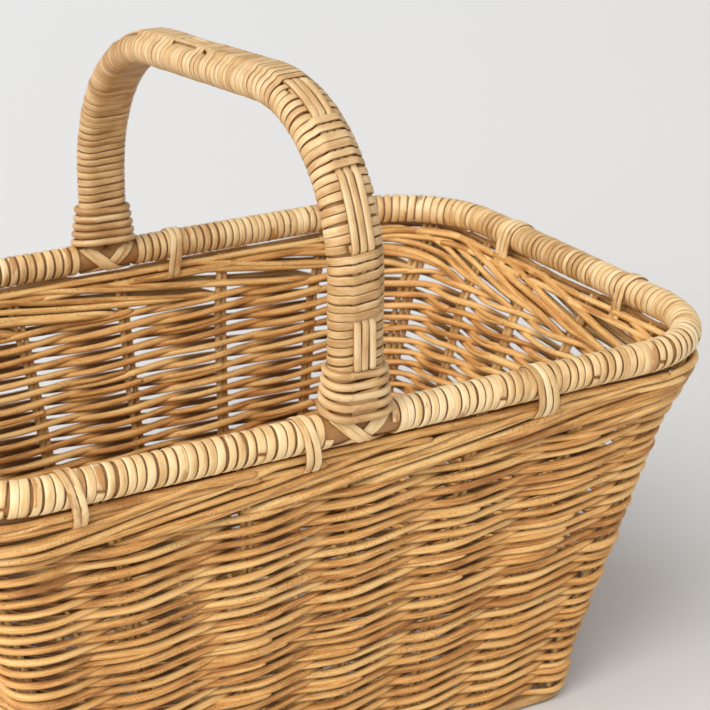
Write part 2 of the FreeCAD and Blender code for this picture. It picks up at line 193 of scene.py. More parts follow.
class Piece:
    """Collects rods and strips into one mesh. Three attributes drive the materials: strand is a
    random tone of each rod, fibre is (distance along, across, across), edge is -1..1 across a strip,
    where the peel material paints shade at both edges, and for a rod the amount of painted shade,
    0..1 from its open side to the side out of view and its underside."""

    def __init__(self, name, material, slot_name, replaced):
        self.name, self.material = name, material
        self.slot_name, self.replaced = slot_name, replaced
        self.points, self.faces, self.flat = [], [], []
        self.strand, self.fibre, self.edge = [], [], []
        self.count = 0

    def skin(self, rings, fibre, tone, edge, closed):
        """Adds rings of points (rings, sides, 3) as one closed surface."""
        n, sides, _ = rings.shape
        index = self.count + np.arange(n * sides).reshape(n, sides)
        ahead = np.roll(index, -1, axis=0) if closed else index[1:]
        here = index if closed else index[:-1]
        quads = np.stack([here, np.roll(here, -1, 1), np.roll(ahead, -1, 1), ahead], -1).reshape(-1, 4)
        self.faces += quads.tolist()
        self.flat += [False] * len(quads)
        if not closed:
            self.faces += [index[0][::-1].tolist(), index[-1].tolist()]
            self.flat += [True, True]
        self.points.append(rings.reshape(-1, 3))
        self.fibre.append(fibre.reshape(-1, 3))
        self.strand.append(np.full(n * sides, tone))
        self.edge.append(edge.reshape(-1))
        self.count += n * sides

    def rod(self, path, radius, guide, flatten=1.0, closed=False, proud=0.0, under=0.0):
        """Round rod along a path. guide is a direction across it; flatten scales the rod's section
        square to the guide. radius and flatten may vary along the path, and so may proud, which is
        1 where the guide's side is open to view and -1 where it is out of view; painted shade goes on
        whichever side is out of view. under is how much painted shade falls on the rod's underside."""
        n = len(path)
        radius = np.broadcast_to(radius, n)
        flatten = np.broadcast_to(flatten, n)
        tone = random.random()
        across, square = frames(path, guide, closed)
        length = distance_along(path)
        angle = 2 * math.pi * np.arange(ROD_SIDES) / ROD_SIDES
        cos, sin = np.cos(angle), np.sin(angle)
        rings = (path[:, None] + across[:, None] * (radius[:, None] * cos)[..., None]
                 + square[:, None] * ((radius * flatten)[:, None] * sin)[..., None])
        if not closed:
            rings = rounded_ends(rings, path)
        fibre = np.empty(rings.shape)
        fibre[..., 0] = (length + FIBRE_SHIFT * tone)[:, None]
        fibre[..., 1] = cos * radius.mean()
        fibre[..., 2] = sin * radius.mean()
        # painted shade: the side out of view and the underside, stored in the edge attribute for the
        # core material to darken
        painted_shade = np.clip(-np.broadcast_to(proud, n)[:, None] * cos, 0, 1) + under * np.clip(sin, 0, 1)
        self.skin(rings, fibre, tone, painted_shade, closed)

    def strip(self, path, outward, width, thick, tone=None, closed=False, crown=0.35):
        """Flat strip of peel along a path on its inner face. outward points away from what it
        wraps; crown is how much of the thickness the rounded back takes up."""
        n = len(path)
        tone = random.random() if tone is None else tone
        up, side = frames(path, outward, closed)
        width = np.broadcast_to(width, n)
        thick = np.broadcast_to(thick, n)
        low = 1 - crown
        right = [(0.0, 1.0), (0.25, 1 - 0.10 * crown), (0.40, 1 - 0.38 * crown), (0.47, low),
                 (0.50, 0.6 * low), (0.47, 0.0)]
        profile = np.array([(-a, b) for a, b in right[:0:-1]] + right)
        rings = (path[:, None] + side[:, None] * (width[:, None] * profile[:, 0])[..., None]
                 + up[:, None] * (thick[:, None] * profile[:, 1])[..., None])
        length = distance_along(path)
        fibre = np.empty(rings.shape)
        fibre[..., 0] = (length + FIBRE_SHIFT * tone)[:, None]
        fibre[..., 1] = profile[:, 0] * width.mean()
        fibre[..., 2] = profile[:, 1] * thick.mean()
        # edge runs -1..1 across the strip; the peel material paints shade near both ends of it
        edge = np.broadcast_to(profile[:, 0] * 2, rings.shape[:2])
        self.skin(rings, fibre, tone, edge, closed)

    def build(self):
        points = np.concatenate(self.points)
        mesh = bpy.data.meshes.new(self.name)
        mesh.from_pydata(points.tolist(), [], self.faces)
        flat = np.array(self.flat)
        mesh.polygons.foreach_set("use_smooth", ~flat)
        for name, kind, values, key in (("strand", "FLOAT", self.strand, "value"),
                                        ("edge", "FLOAT", self.edge, "value"),
                                        ("fibre", "FLOAT_VECTOR", self.fibre, "vector")):
            layer = mesh.attributes.new(name, kind, "POINT")
            layer.data.foreach_set(key, np.concatenate(values).astype(np.float32).ravel())
        mesh.materials.append(self.material)
        mesh.update()
        made = bpy.data.objects.new(self.name, mesh)
        bpy.context.scene.collection.objects.link(made)
        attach(made, "root")
        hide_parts(self.replaced)


def distance_along(path):
    return np.concatenate([[0], np.cumsum(np.linalg.norm(np.diff(path, axis=0), axis=1))])


def unit(v):
    return v / np.maximum(np.linalg.norm(v, axis=-1, keepdims=True), 1e-12)


def frames(path, guide, closed):
    """Two directions square to a path and to each other. The first leans towards guide."""
    if closed:
        tangent = np.roll(path, -1, 0) - np.roll(path, 1, 0)
    else:
        tangent = np.gradient(path, axis=0)
    tangent = unit(tangent)
    guide = np.broadcast_to(guide, path.shape)
    across = unit(guide - tangent * (guide * tangent).sum(-1, keepdims=True))
    return across, np.cross(tangent, across)


def rounded_ends(rings, path):
    """Pulls in the first and last ring, so that a cut end has a small rounded edge."""
    rings = rings.copy()
    for end in (0, -1):
        rings[end] = path[end] + (rings[end] - path[end]) * END_SIZE
    return rings


def resample(points, step):
    """Points evenly spaced along a smooth curve through the given points."""
    points = np.asarray(points, float)
    at = distance_along(points)
    fine = np.linspace(0, at[-1], max(8, int(at[-1] / step) + 1))
    slope = np.gradient(points, at, axis=0)
    cell = np.clip(np.searchsorted(at, fine, "right") - 1, 0, len(at) - 2)
    h = (at[cell + 1] - at[cell])[:, None]
    t = ((fine - at[cell])[:, None]) / h
    p0, p1, m0, m1 = points[cell], points[cell + 1], slope[cell] * h, slope[cell + 1] * h
    return ((2 * t**3 - 3 * t**2 + 1) * p0 + (t**3 - 2 * t**2 + t) * m0
            + (-2 * t**3 + 3 * t**2) * p1 + (t**3 - t**2) * m1)


# --- materials ----------------------------------------------------------------------------------

class Nodes:
    """Short names for building a node tree."""

    def __init__(self, name):
        self.material = bpy.data.materials.new(name)
        self.material.use_nodes = True
        self.tree = self.material.node_tree
        self.shader = self.tree.nodes["Principled BSDF"]

    def add(self, kind, **settings):
        node = self.tree.nodes.new(kind)
        for key, value in settings.items():
            setattr(node, key, value)
        return node

    def link(self, value, socket):
        if isinstance(value, bpy.types.NodeSocket):
            self.tree.links.new(value, socket)
        else:
            socket.default_value = value

    def attribute(self, name, output):
        return self.add("ShaderNodeAttribute", attribute_name=name).outputs[output]

    def math(self, operation, a, b=0.0):
        node = self.add("ShaderNodeMath", operation=operation)
        self.link(a, node.inputs[0])
        self.link(b, node.inputs[1])
        return node.outputs[0]

    def scaled(self, vector, scale):
        node = self.add("ShaderNodeVectorMath", operation="MULTIPLY")
        self.link(vector, node.inputs[0])
        node.inputs[1].default_value = scale
        return node.outputs[0]

    def noise(self, vector, detail, rough):
        node = self.add("ShaderNodeTexNoise")
        self.link(vector, node.inputs["Vector"])
        node.inputs["Scale"].default_value = 1.0
        node.inputs["Detail"].default_value = detail
        node.inputs["Roughness"].default_value = rough
        return node.outputs["Fac"]

    def ramp(self, value, stops):
        node = self.add("ShaderNodeValToRGB")
        ramp = node.color_ramp
        while len(ramp.elements) < len(stops):
            ramp.elements.new(0.5)
        for element, (place, colour) in zip(ramp.elements, stops):
            element.position = place
            element.color = (*colour, 1)
        self.link(value, node.inputs[0])
        return node.outputs[0]

    def span(self, value, low, high, to_low=0.0, to_high=1.0):
        """value from low..high to to_low..to_high, held at both ends."""
        node = self.add("ShaderNodeMapRange")
        self.link(value, node.inputs["Value"])
        for key, number in (("From Min", low), ("From Max", high),
                            ("To Min", to_low), ("To Max", to_high)):
            node.inputs[key].default_value = number
        return node.outputs[0]

    def mix(self, share, a, b):
        """a where share is 0, b where it is 1; both are colours."""
        node = self.add("ShaderNodeMix", data_type="RGBA")
        self.link(share, node.inputs["Factor"])
        self.link(a, node.inputs[6])
        self.link(b, node.inputs[7])
        return node.outputs[2]

    def bump(self, height, distance, strength, under=None):
        node = self.add("ShaderNodeBump")
        node.inputs["Distance"].default_value = distance
        node.inputs["Strength"].default_value = strength
        self.link(height, node.inputs["Height"])
        if under is not None:
            self.link(under, node.inputs["Normal"])
        return node.outputs[0]


def core_material(name, dark, middle, light, blotch, blotch_share=0.35):
    """Round rattan core: streaked along the rod, with tan blotches, dark specks, a soft sheen and
    painted shade on the sides of rods out of view and on their undersides.
    """
    n = Nodes(name)
    fibre = n.attribute("fibre", "Vector")
    tone = n.attribute("strand", "Fac")
    patch = n.noise(n.scaled(fibre, (30, 300, 300)), 5, 0.65)
    streak = n.noise(n.scaled(fibre, (70, 1500, 1500)), 4, 0.65)
    speck = n.noise(n.scaled(fibre, (1100, 1400, 1400)), 2, 0.5)
    patched = n.span(patch, 0.34, 0.66, 0.12, 0.60)
    shade = n.math("ADD", n.math("MULTIPLY", tone, 0.38), patched)
    shade = n.math("ADD", shade, n.math("MULTIPLY", n.math("SUBTRACT", streak, 0.5), 1.15))
    colour = n.ramp(shade, ((0.18, dark), (0.5, middle), (0.85, light)))
    stain = n.noise(n.scaled(fibre, (14, 120, 120)), 5, 0.65)
    colour = n.mix(n.span(stain, 0.60, 0.72, 0.0, blotch_share * 2), colour, (*blotch, 1))
    grit = n.math("MULTIPLY", n.span(speck, 0.57, 0.66), n.span(stain, 0.42, 0.62))
    colour = n.mix(n.math("MULTIPLY", grit, 0.7), colour, (0.15, 0.068, 0.024, 1))
    # painted shade: dark brown mixed in where the edge attribute marks a side out of view or an
    # underside
    painted_shade = n.span(n.attribute("edge", "Fac"), 0.08, 0.80, 0.0, 0.88)
    colour = n.mix(painted_shade, colour, (0.10, 0.038, 0.010, 1))
    n.link(colour, n.shader.inputs["Base Color"])
    n.link(n.span(streak, 0.3, 0.7, 0.42, 0.62), n.shader.inputs["Roughness"])
    n.shader.inputs["Specular IOR Level"].default_value = 0.45
    dent = n.bump(patch, 0.35 * MM, 0.6)
    n.link(n.bump(streak, 0.16 * MM, 0.9, dent), n.shader.inputs["Normal"])
    return n.material


def peel_material(name, dark, middle, light, skin, skin_share):
    """Flat rattan peel: pale and glossy, fine lines along it, painted shade at its edges and patches of
    skin.
    """
    n = Nodes(name)
    fibre = n.attribute("fibre", "Vector")
    tone = n.attribute("strand", "Fac")
    edge = n.math("ABSOLUTE", n.attribute("edge", "Fac"))
    patch = n.noise(n.scaled(fibre, (42, 130, 130)), 4, 0.6)
    streak = n.noise(n.scaled(fibre, (40, 2000, 900)), 4, 0.65)
    patched = n.span(patch, 0.36, 0.64, 0.10, 0.62)
    shade = n.math("ADD", n.math("MULTIPLY", tone, 0.30), patched)
    shade = n.math("ADD", shade, n.math("MULTIPLY", n.math("SUBTRACT", streak, 0.5), 0.75))
    colour = n.ramp(shade, ((0.2, dark), (0.5, middle), (0.82, light)))
    brown = n.noise(n.scaled(fibre, (30, 90, 90)), 5, 0.62)
    cut = n.span(brown, 0.645 - skin_share, 0.685 - skin_share)
    colour = n.mix(n.math("MULTIPLY", cut, 0.85), colour, (*skin, 1))
    node_line = n.noise(n.scaled(fibre, (260, 40, 40)), 1, 0.3)
    colour = n.mix(n.span(node_line, 0.74, 0.78, 0.0, 0.5), colour, (0.30, 0.16, 0.07, 1))
    # painted shade: darkens each strip towards its two edges, where it turns down into the gap beside
    # the next
    colour = n.mix(n.span(edge, 0.84, 0.97, 0.0, 0.8), colour, (0.20, 0.09, 0.03, 1))
    n.link(colour, n.shader.inputs["Base Color"])
    n.link(n.span(streak, 0.3, 0.7, 0.30, 0.48), n.shader.inputs["Roughness"])
    n.shader.inputs["Specular IOR Level"].default_value = 0.5
    dent = n.bump(patch, 0.2 * MM, 0.4)
    n.link(n.bump(streak, 0.06 * MM, 0.8, dent), n.shader.inputs["Normal"])
    return n.material


def pole_material(name, dark, light):
    """Bare rattan pole of a CAD node, so it works from object coordinates."""
    n = Nodes(name)
    place = n.add("ShaderNodeTexCoord").outputs["Object"]
    patch = n.noise(n.scaled(place, (60, 60, 60)), 5, 0.6)
    grain = n.noise(n.scaled(place, (120, 900, 900)), 4, 0.6)
    shade = n.math("ADD", n.math("MULTIPLY", patch, 0.6), n.math("MULTIPLY", grain, 0.4))
    n.link(n.ramp(shade, ((0.3, dark), (0.7, light))), n.shader.inputs["Base Color"])
    n.link(n.span(grain, 0.3, 0.7, 0.45, 0.65), n.shader.inputs["Roughness"])
    n.link(n.bump(grain, 0.1 * MM, 0.6), n.shader.inputs["Normal"])
    return n.material


def steel_material(name):
    n = Nodes(name)
    place = n.add("ShaderNodeTexCoord").outputs["Object"]
    scratch = n.noise(n.scaled(place, (3000, 3000, 400)), 3, 0.6)
    n.link(n.ramp(scratch, ((0.3, (0.32, 0.32, 0.33)), (0.7, (0.55, 0.55, 0.56)))),
           n.shader.inputs["Base Color"])
    n.shader.inputs["Metallic"].default_value = 1.0
    n.link(n.span(scratch, 0.3, 0.7, 0.35, 0.55), n.shader.inputs["Roughness"])
    n.link(n.bump(scratch, 0.02 * MM, 0.6), n.shader.inputs["Normal"])
    return n.material


WEAVER = core_material("weaver_core", (0.385, 0.147, 0.032), (0.715, 0.355, 0.102), (0.89, 0.56, 0.215),
                       (0.46, 0.185, 0.040))
STAKE = core_material("stake_core", (0.32, 0.140, 0.036), (0.58, 0.31, 0.098), (0.78, 0.50, 0.20),
                      (0.40, 0.165, 0.038))
BORDER = core_material("border_core", (0.40, 0.163, 0.038), (0.72, 0.38, 0.117), (0.89, 0.585, 0.235),
                       (0.52, 0.22, 0.050))
BASE = core_material("base_core", (0.38, 0.19, 0.060), (0.62, 0.37, 0.140), (0.80, 0.55, 0.25),
                     (0.44, 0.21, 0.060))
RIM_PEEL = peel_material("rim_peel", (0.57, 0.33, 0.125), (0.84, 0.565, 0.265), (0.94, 0.73, 0.42),
                         (0.48, 0.225, 0.070), 0.07)
HANDLE_PEEL = peel_material("handle_peel", (0.43, 0.23, 0.082), (0.63, 0.395, 0.172), (0.76, 0.55, 0.30),
                            (0.48, 0.24, 0.080), 0.05)
POLE = pole_material("bare_pole", (0.24, 0.10, 0.028), (0.50, 0.25, 0.080))
STEEL = steel_material("nail_steel_look")


# --- wall ---------------------------------------------------------------------------------------

CORNERS = np.array([0, SPANS[0], SPANS[0] + SPANS[1], STAKES - SPANS[3], STAKES])
CORNER_REACH = 0.3               # in stake gaps


def near_corner(u):
    """1 at a corner of the wall, falling to near 0 within two thirds of a stake gap."""
    gap = np.abs(np.mod(u, STAKES)[:, None] - CORNERS).min(1)
    return np.exp(-(gap / CORNER_REACH) ** 2)


SAG_PHASE = random.random(3)
SAG = 0.45 * MM


def sag(u, z):
    """Rows wander up and down together: shared by all rows, changing slowly with height."""
    wave = np.sin(2 * math.pi * (u / 5.5 + SAG_PHASE[0] + z * 2.2))
    wave += 0.7 * np.sin(2 * math.pi * (u / 3.1 + SAG_PHASE[1] - z * 3.5))
    wave += 0.3 * np.sin(2 * math.pi * (u / 1.7 + SAG_PHASE[2] + z * 40))
    return wave * SAG


TWIST_RISE = 0.95 * MM           # how far a weaver rises and falls as it passes through the wall
TWIST_STEP = 0.15 * MM           # keeps it level at the stakes and steepens it between them
INSIDE_LIFT = 0.95 * MM          # half of how much higher it runs inside a stake than outside one
WEAVE_DEPTH = 3.55 * MM          # how far it stands out as it passes a stake
LAY = 1.3 * MM                   # half of how far the two stand apart, front to back, as they cross
CORNER_SWING = 0.3               # how much further, as a share, a weaver stands out round a corner
JOIN_SHIFT = 1.15 * MM           # of a new length upward and of an old length downward, at a join


def weaver_path(u, z_row, phase):
    """Path of a weaver: out past one stake and in past the next, higher inside than outside."""
    shape = math.pi * (u - phase + waves(u, 2.7, 0.05))
    out = WEAVE_DEPTH * (np.cos(shape) + np.cos(3 * shape) / 14) + LAY * np.sin(shape)
    out = out * (1 + CORNER_SWING * near_corner(u))
    rise = TWIST_RISE * np.sin(shape) - TWIST_STEP * np.sin(2 * shape)
    rise = rise - INSIDE_LIFT * (np.cos(shape) + np.cos(3 * shape) / 14)
    z = z_row + rise + sag(u, z_row) + waves(u, 2.3, 0.30 * MM)
    return out + waves(u, 1.4, 0.3 * MM), z


def weaver(piece, start, length, z_row, phase, radius, overlap=1.3):
    """One length of weaver. Its start hides inside and its end lies on the outside, cut off."""
    u = np.arange(start, start + length, ROD_STEP / STAKE_GAP)
    out, z = weaver_path(u, z_row, phase)
    leading = ease((start + overlap - u) / 0.5)
    trailing = ease((u - (start + length - overlap)) / 0.5)
    z = z + JOIN_SHIFT * leading - JOIN_SHIFT * trailing
    out = out - 0.5 * MM * leading + 0.7 * MM * trailing
    squeeze = 1.0 - 0.12 * np.sin(math.pi * (u - phase)) ** 2
    taper = radius * (1 + waves(u, 5.0, 0.08) + waves(u, 0.6, 0.03))
    taper = taper * (1 - 0.16 * (leading + trailing))
    path, guide = wall_point(u, z, out)
    # proud and under place painted shade on the weaver: on its side turned towards the middle of the
    # wall, and on its underside
    proud = np.clip(1.3 * out / WEAVE_DEPTH, -1, 1)
    piece.rod(path, taper, guide, flatten=squeeze, proud=proud, under=0.62)


def weave_course(number, node):
    """Two weavers twisted round each other between the stakes, each made up of two lengths."""
    piece = Piece(node.replace("weave_course", "twined_course"), WEAVER, "rattan_weaver", node)
    z_row = COURSE_Z[number] + waves(np.array([0.0]), 1.0, 0.12 * MM)[0]
    for phase in (0, 1):
        joins = np.sort(random.choice(STAKES // 2, 2, replace=False)) * 2 + phase
        ends = joins + random.uniform(0.15, 0.42, 2)
        for here, following in ((0, 1), (1, 0)):
            start = joins[here] - 1 + random.uniform(-0.1, 0.1)
            end = ends[following] + (STAKES if following == 0 else 0)
            radius = WEAVER_R * random.uniform(0.86, 1.08)
            weaver(piece, start, end - start, z_row, phase, radius)
    piece.build()


def is_corner(index):
    return index % (SPANS[0] + SPANS[1]) in (0, SPANS[0])


def stakes(name, node, corners):
    """Upright rods, two side by side, or three at a corner."""
    piece = Piece(name, STAKE, "rattan_stake", node)
    low, high = node_box(node)
    z = np.linspace(low[2], high[2] - 1 * MM, 80)
    steps = (-3.7, 0, 3.7) if corners else (-1.8, 1.8)
    for index in range(STAKES):
        if is_corner(index) != corners:
            continue
        for step in steps:
            radius = random.uniform(1.5, 1.75) * MM
            aside = step * MM + waves(z, 60 * MM, 0.22 * MM)
            path, guide = wall_point(index + 0 * z, z, waves(z, 50 * MM, 0.12 * MM), aside)
            piece.rod(path, radius * (1 + waves(z, 40 * MM, 0.03)), guide)
    piece.build()


BORDER_LOW = node_box("border_rods_outer")[0][2]
BORDER_TOP = RIM_Z - RIM_WRAP_R - 2.0 * MM
BORDER_CLIMB = 2.5               # stakes passed by a border rod before it is right under the rim
BORDER_LAYER = 4.2               # mm from a top rod down to the one below it
BORDER_OUT = 4.2                 # mm from the wall's middle surface
BORDER_BEND = 0.35               # stake gaps in which a stake turns over
CORNER_BULGE = 2.2 * MM


def border_rods(name, node, outside):
    """Bent-over stake ends: each rises out of the weave and runs on under the rim."""
    piece = Piece(name, BORDER, "rattan_stake", node)
    side = 1 if outside else -1
    for index in range(STAKES):
        for layer in (0, 1):
            radius = random.uniform(1.6, 2.15) * MM
            run = random.uniform(3.5, 4.3)
            climb = BORDER_CLIMB * random.uniform(0.9, 1.15)
            u = np.arange(index - 0.05, index + run, ROD_STEP / STAKE_GAP_HIGH)
            share = np.clip((u - u[0]) / climb, 0, 1)
            bend = ease((u - u[0]) / BORDER_BEND)
            drop = (BORDER_LAYER * layer + random.uniform(-0.3, 0.6)) * MM
            slow_start = share - 0.3 * np.sin(math.pi * share) / math.pi
            z = BORDER_LOW + (BORDER_TOP - drop - BORDER_LOW) * slow_start
            z = z - (1 - bend) * 3 * MM - 1.2 * MM + waves(u, 1.8, 0.5 * MM) * (1 - 0.7 * share)
            out = 0.6 * MM + bend * (BORDER_OUT - 1.3 * share) * MM + waves(u, 1.4, 0.55 * MM)
            out = side * out
            out = out + side * CORNER_BULGE * near_corner(u) * share
            out = out + side * 0.9 * MM * ease((u - (u[-1] - 0.4)) / 0.4)
            path, guide = wall_point(u, z, out)
            # proud and under place painted shade on the side turned towards the wall and on the
            # underside
            piece.rod(path, radius * (1 + waves(u, 3.0, 0.07)), guide, proud=0.6 * side, under=0.6)
    piece.build()


# --- rim ----------------------------------------------------------------------------------------

def rim_length():
    half_length, half_width, radius = RIM_PLAN
    return 4 * (half_length - radius + half_width - radius) + 2 * math.pi * radius


def rim_place(s):
    """Point on the rim's centre line, outward normal and direction along it."""
    x, y, nx, ny = rounded(tuple(np.full_like(s, v) for v in RIM_PLAN), s)
    return (np.stack([x, y, np.full_like(x, RIM_Z)], -1), np.stack([nx, ny, 0 * nx], -1),
            np.stack([-ny, nx, 0 * nx], -1))


RINGS_PER_TURN = 26
SLANT = 0.35 * MM                # of a turn of peel, along the pole


def rim_turns(piece, start, end, pitch):
    """Peel wound round the rim pole as a helix from one arc length to another."""
    turns = int((end - start) / pitch)
    t = np.arange(turns * RINGS_PER_TURN) / RINGS_PER_TURN
    stagger = np.interp(t, np.arange(turns + 1), random.normal(0, 0.30 * MM, turns + 1))
    s = start + (end - start) * t / turns + stagger
    angle = 2 * math.pi * t
    proud = np.interp(t, np.arange(turns + 1), random.normal(0, 0.10 * MM, turns + 1))
    centre, normal, along = rim_place(s)
    outward = normal * np.cos(angle)[:, None] + np.array([0, 0, 1.0]) * np.sin(angle)[:, None]
    slant = SLANT * np.sin(angle + 0.6)
    away = RIM_POLE_R + 0.05 * MM + np.abs(proud)
    path = centre + outward * away[:, None] + along * slant[:, None]
    width = pitch * np.interp(t, np.arange(turns + 1), random.uniform(0.80, 1.03, turns + 1))
    piece.strip(path, outward, width, PEEL * 0.98)


def rim_wrap():
    """The whole rim is wrapped with many lengths of peel, except under the two feet."""
    piece = Piece("rim_peel_turns", RIM_PEEL, "rattan_peel", "rim_wrap")
    half = rim_length() / 2
    front = FRONT_FOOT[0]
    back = half - BACK_FOOT[0]
    for start, end in ((front + BARE_HALF, back - BARE_HALF),
                       (back + BARE_HALF, rim_length() + front - BARE_HALF)):
        at = start
        while at < end - 2 * MM:
            pitch = random.uniform(4.1, 4.6) * MM
            turns = random.integers(7, 20)
            stop = min(at + turns * pitch, end)
            if end - stop < 20 * MM:
                stop = end
            rim_turns(piece, at, stop, pitch)
            at = stop
    piece.build()


LASHINGS_X = (-147, -35, 92)     # mm from the middle, on each long side
LASHINGS_Y = (-55, 50)           # mm from the middle, on each short side
LASHING_PITCH = 3.6 * MM
LASHING_THICK = 1.15 * MM


def rim_lashings():
    """Groups of longer turns that go over the rim and down round the top border rods."""
    piece = Piece("rim_lashing_turns", RIM_PEEL, "rattan_peel", "rim_lashings")
    quarter = rim_length() / 4
    depth = (RIM_Z - node_box("rim_lashings")[0][2]) * 0.9
    outer = RIM_WRAP_R + 0.15 * MM
    places = []
    for x in LASHINGS_X:
        places += [x * MM, 2 * quarter + x * MM]
    for y in LASHINGS_Y:
        places += [quarter + y * MM, 3 * quarter + y * MM]
    for place in places:
        count = random.integers(2, 4)
        for turn in range(count):
            spread = (turn - (count - 1) / 2) * LASHING_PITCH
            tilt = random.normal(-1.6, 0.3) * MM
            corners = [(outer * 0.40, -depth + 1.5 * MM), (outer * 0.86, -depth * 0.60),
                       (outer, -0.1 * outer),
                       (outer * 0.72, outer * 0.70), (0, outer), (-outer * 0.72, outer * 0.70),
                       (-outer, -0.1 * outer), (-outer - 0.8 * MM, -depth * 0.6),
                       (-outer - 1.0 * MM, -depth + 1.5 * MM), (-outer * 0.4, -depth + 0.3 * MM),
                       (outer * 0.2, -depth + 0.3 * MM)]
            flat = np.array([(a, b, 0.0) for a, b in corners + corners[:1]])
            loop = resample(flat, 1.6 * MM)[:-1]
            s = place + spread * (1 + 0.10 * (loop[:, 1] < 0)) + tilt * loop[:, 1] / outer
            centre, normal, _ = rim_place(s)
            path = centre + normal * loop[:, :1] + np.array([0, 0, 1.0]) * loop[:, 1:2]
            middle = centre - np.array([0, 0, 0.3 * depth])
            piece.strip(path, path - middle, random.uniform(3.3, 3.7) * MM, LASHING_THICK, closed=True)
    piece.build()


# --- handle -------------------------------------------------------------------------------------

POLE_R = 6.0 * MM
HALF_STRAIGHT = 6.05 * MM        # half the distance between the two poles
SLEEVE_R = POLE_R + PEEL
FRONT_CROWN = 341.0 * MM         # height of the top's centre line, carried on to above each foot
BACK_CROWN = 322.6 * MM
FRONT_BEND = 71.2 * MM           # bend radius of the centre line
BACK_BEND = 86.8 * MM
STRAND_THICK = 2.0 * MM
STRAND_PITCH = 3.85 * MM
STRAND_WIDTH = 3.65 * MM
STRAND_ZONE = 6.2 * MM           # half the width that the three strands take up
FOOT_Z = node_box("handle_wrap")[0][2]
HALF_SPAN = RIM_PLAN[1]

FALL = math.atan2(FRONT_CROWN - BACK_CROWN, 2 * HALF_SPAN)
FRONT_TURN = math.pi / 2 + FALL
BACK_TURN = math.pi / 2 - FALL
FRONT_REACH = FRONT_BEND * math.tan(FRONT_TURN / 2)
BACK_REACH = BACK_BEND * math.tan(BACK_TURN / 2)
HANDLE_RUNS = (FRONT_CROWN - FRONT_REACH - FOOT_Z, FRONT_BEND * FRONT_TURN,
               2 * HALF_SPAN / math.cos(FALL) - FRONT_REACH - BACK_REACH, BACK_BEND * BACK_TURN,
               BACK_CROWN - BACK_REACH - FOOT_Z)
HANDLE_LENGTH = sum(HANDLE_RUNS)


def handle_place(s):
    """Centre line of the handle at distance s from the front foot, with the direction that faces
    outward, the direction along it and the direction across it."""
    part = []
    left = np.asarray(s, float)
    for run in HANDLE_RUNS[:-1]:
        part.append(np.clip(left, 0, run))
        left = left - run
    part.append(np.clip(left, 0, None))
    part[0] = part[0] + np.minimum(s, 0)
    first, second = part[1] / FRONT_BEND, part[3] / BACK_BEND
    turn = first + second
    y = -HALF_SPAN + FRONT_BEND * (1 - np.cos(first)) + part[2] * math.sin(FRONT_TURN)
    y = y + BACK_BEND * (math.cos(FRONT_TURN) - np.cos(FRONT_TURN + second))
    z = FOOT_Z + part[0] + FRONT_BEND * np.sin(first) + part[2] * math.cos(FRONT_TURN)
    z = z + BACK_BEND * (np.sin(FRONT_TURN + second) - math.sin(FRONT_TURN)) - part[4]
    x = FRONT_FOOT[0] + (BACK_FOOT[0] - FRONT_FOOT[0]) * (y + HALF_SPAN) / (2 * HALF_SPAN)
    skew = (BACK_FOOT[0] - FRONT_FOOT[0]) / (2 * HALF_SPAN)
    across = unit(np.stack([1 + 0 * y, -skew + 0 * y, 0 * y], -1))
    along = np.stack([skew * np.sin(turn), np.sin(turn), np.cos(turn)], -1)
    outward = np.stack([-skew * np.cos(turn), -np.cos(turn), np.sin(turn)], -1)
    return np.stack([x, y, z], -1), unit(outward), unit(along), across


def stadium(angle, radius):
    """Points round the two poles: (across, outward) and the normals there, for angle 0..2 pi."""
    around = 2 * math.pi * radius + 4 * HALF_STRAIGHT
    t = np.mod(angle / (2 * math.pi), 1.0) * around
    edges = (2 * HALF_STRAIGHT, math.pi * radius, 2 * HALF_STRAIGHT)
    top = np.clip(t, 0, edges[0])
    first = np.clip(t - edges[0], 0, edges[1]) / radius
    low = np.clip(t - edges[0] - edges[1], 0, edges[2])
    second = np.clip(t - sum(edges), 0, math.pi * radius) / radius
    turn = first + second
    centre = -HALF_STRAIGHT + top - low
    normal = np.stack([np.sin(turn), np.cos(turn)], -1)
    return np.stack([centre, 0 * t], -1) + normal * radius, normal


HANDLE_PITCH = 4.1 * MM
HANDLE_RINGS_PER_TURN = 44
PEEL_LENGTHS = 6                 # lengths of peel that the handle's wrapping takes
# where the three strands show, as distances along the handle from its front foot, in mm
STRANDS_SHOW = ((13, 42), (73, 104), (131, 155), (236, 262), (300, 326), (356, 386), (412, 441))
DIVE = 2.5                       # mm in which a strand goes under the peel


def cover_at(s):
    """1 where the peel covers the strands and 0 where they show, along the handle."""
    covered = np.ones_like(s)
    for start, end in STRANDS_SHOW:
        begun = ease((s - start * MM) / (DIVE * MM) + 0.5)
        covered -= begun * ease((end * MM - s) / (DIVE * MM) + 0.5)
    return covered


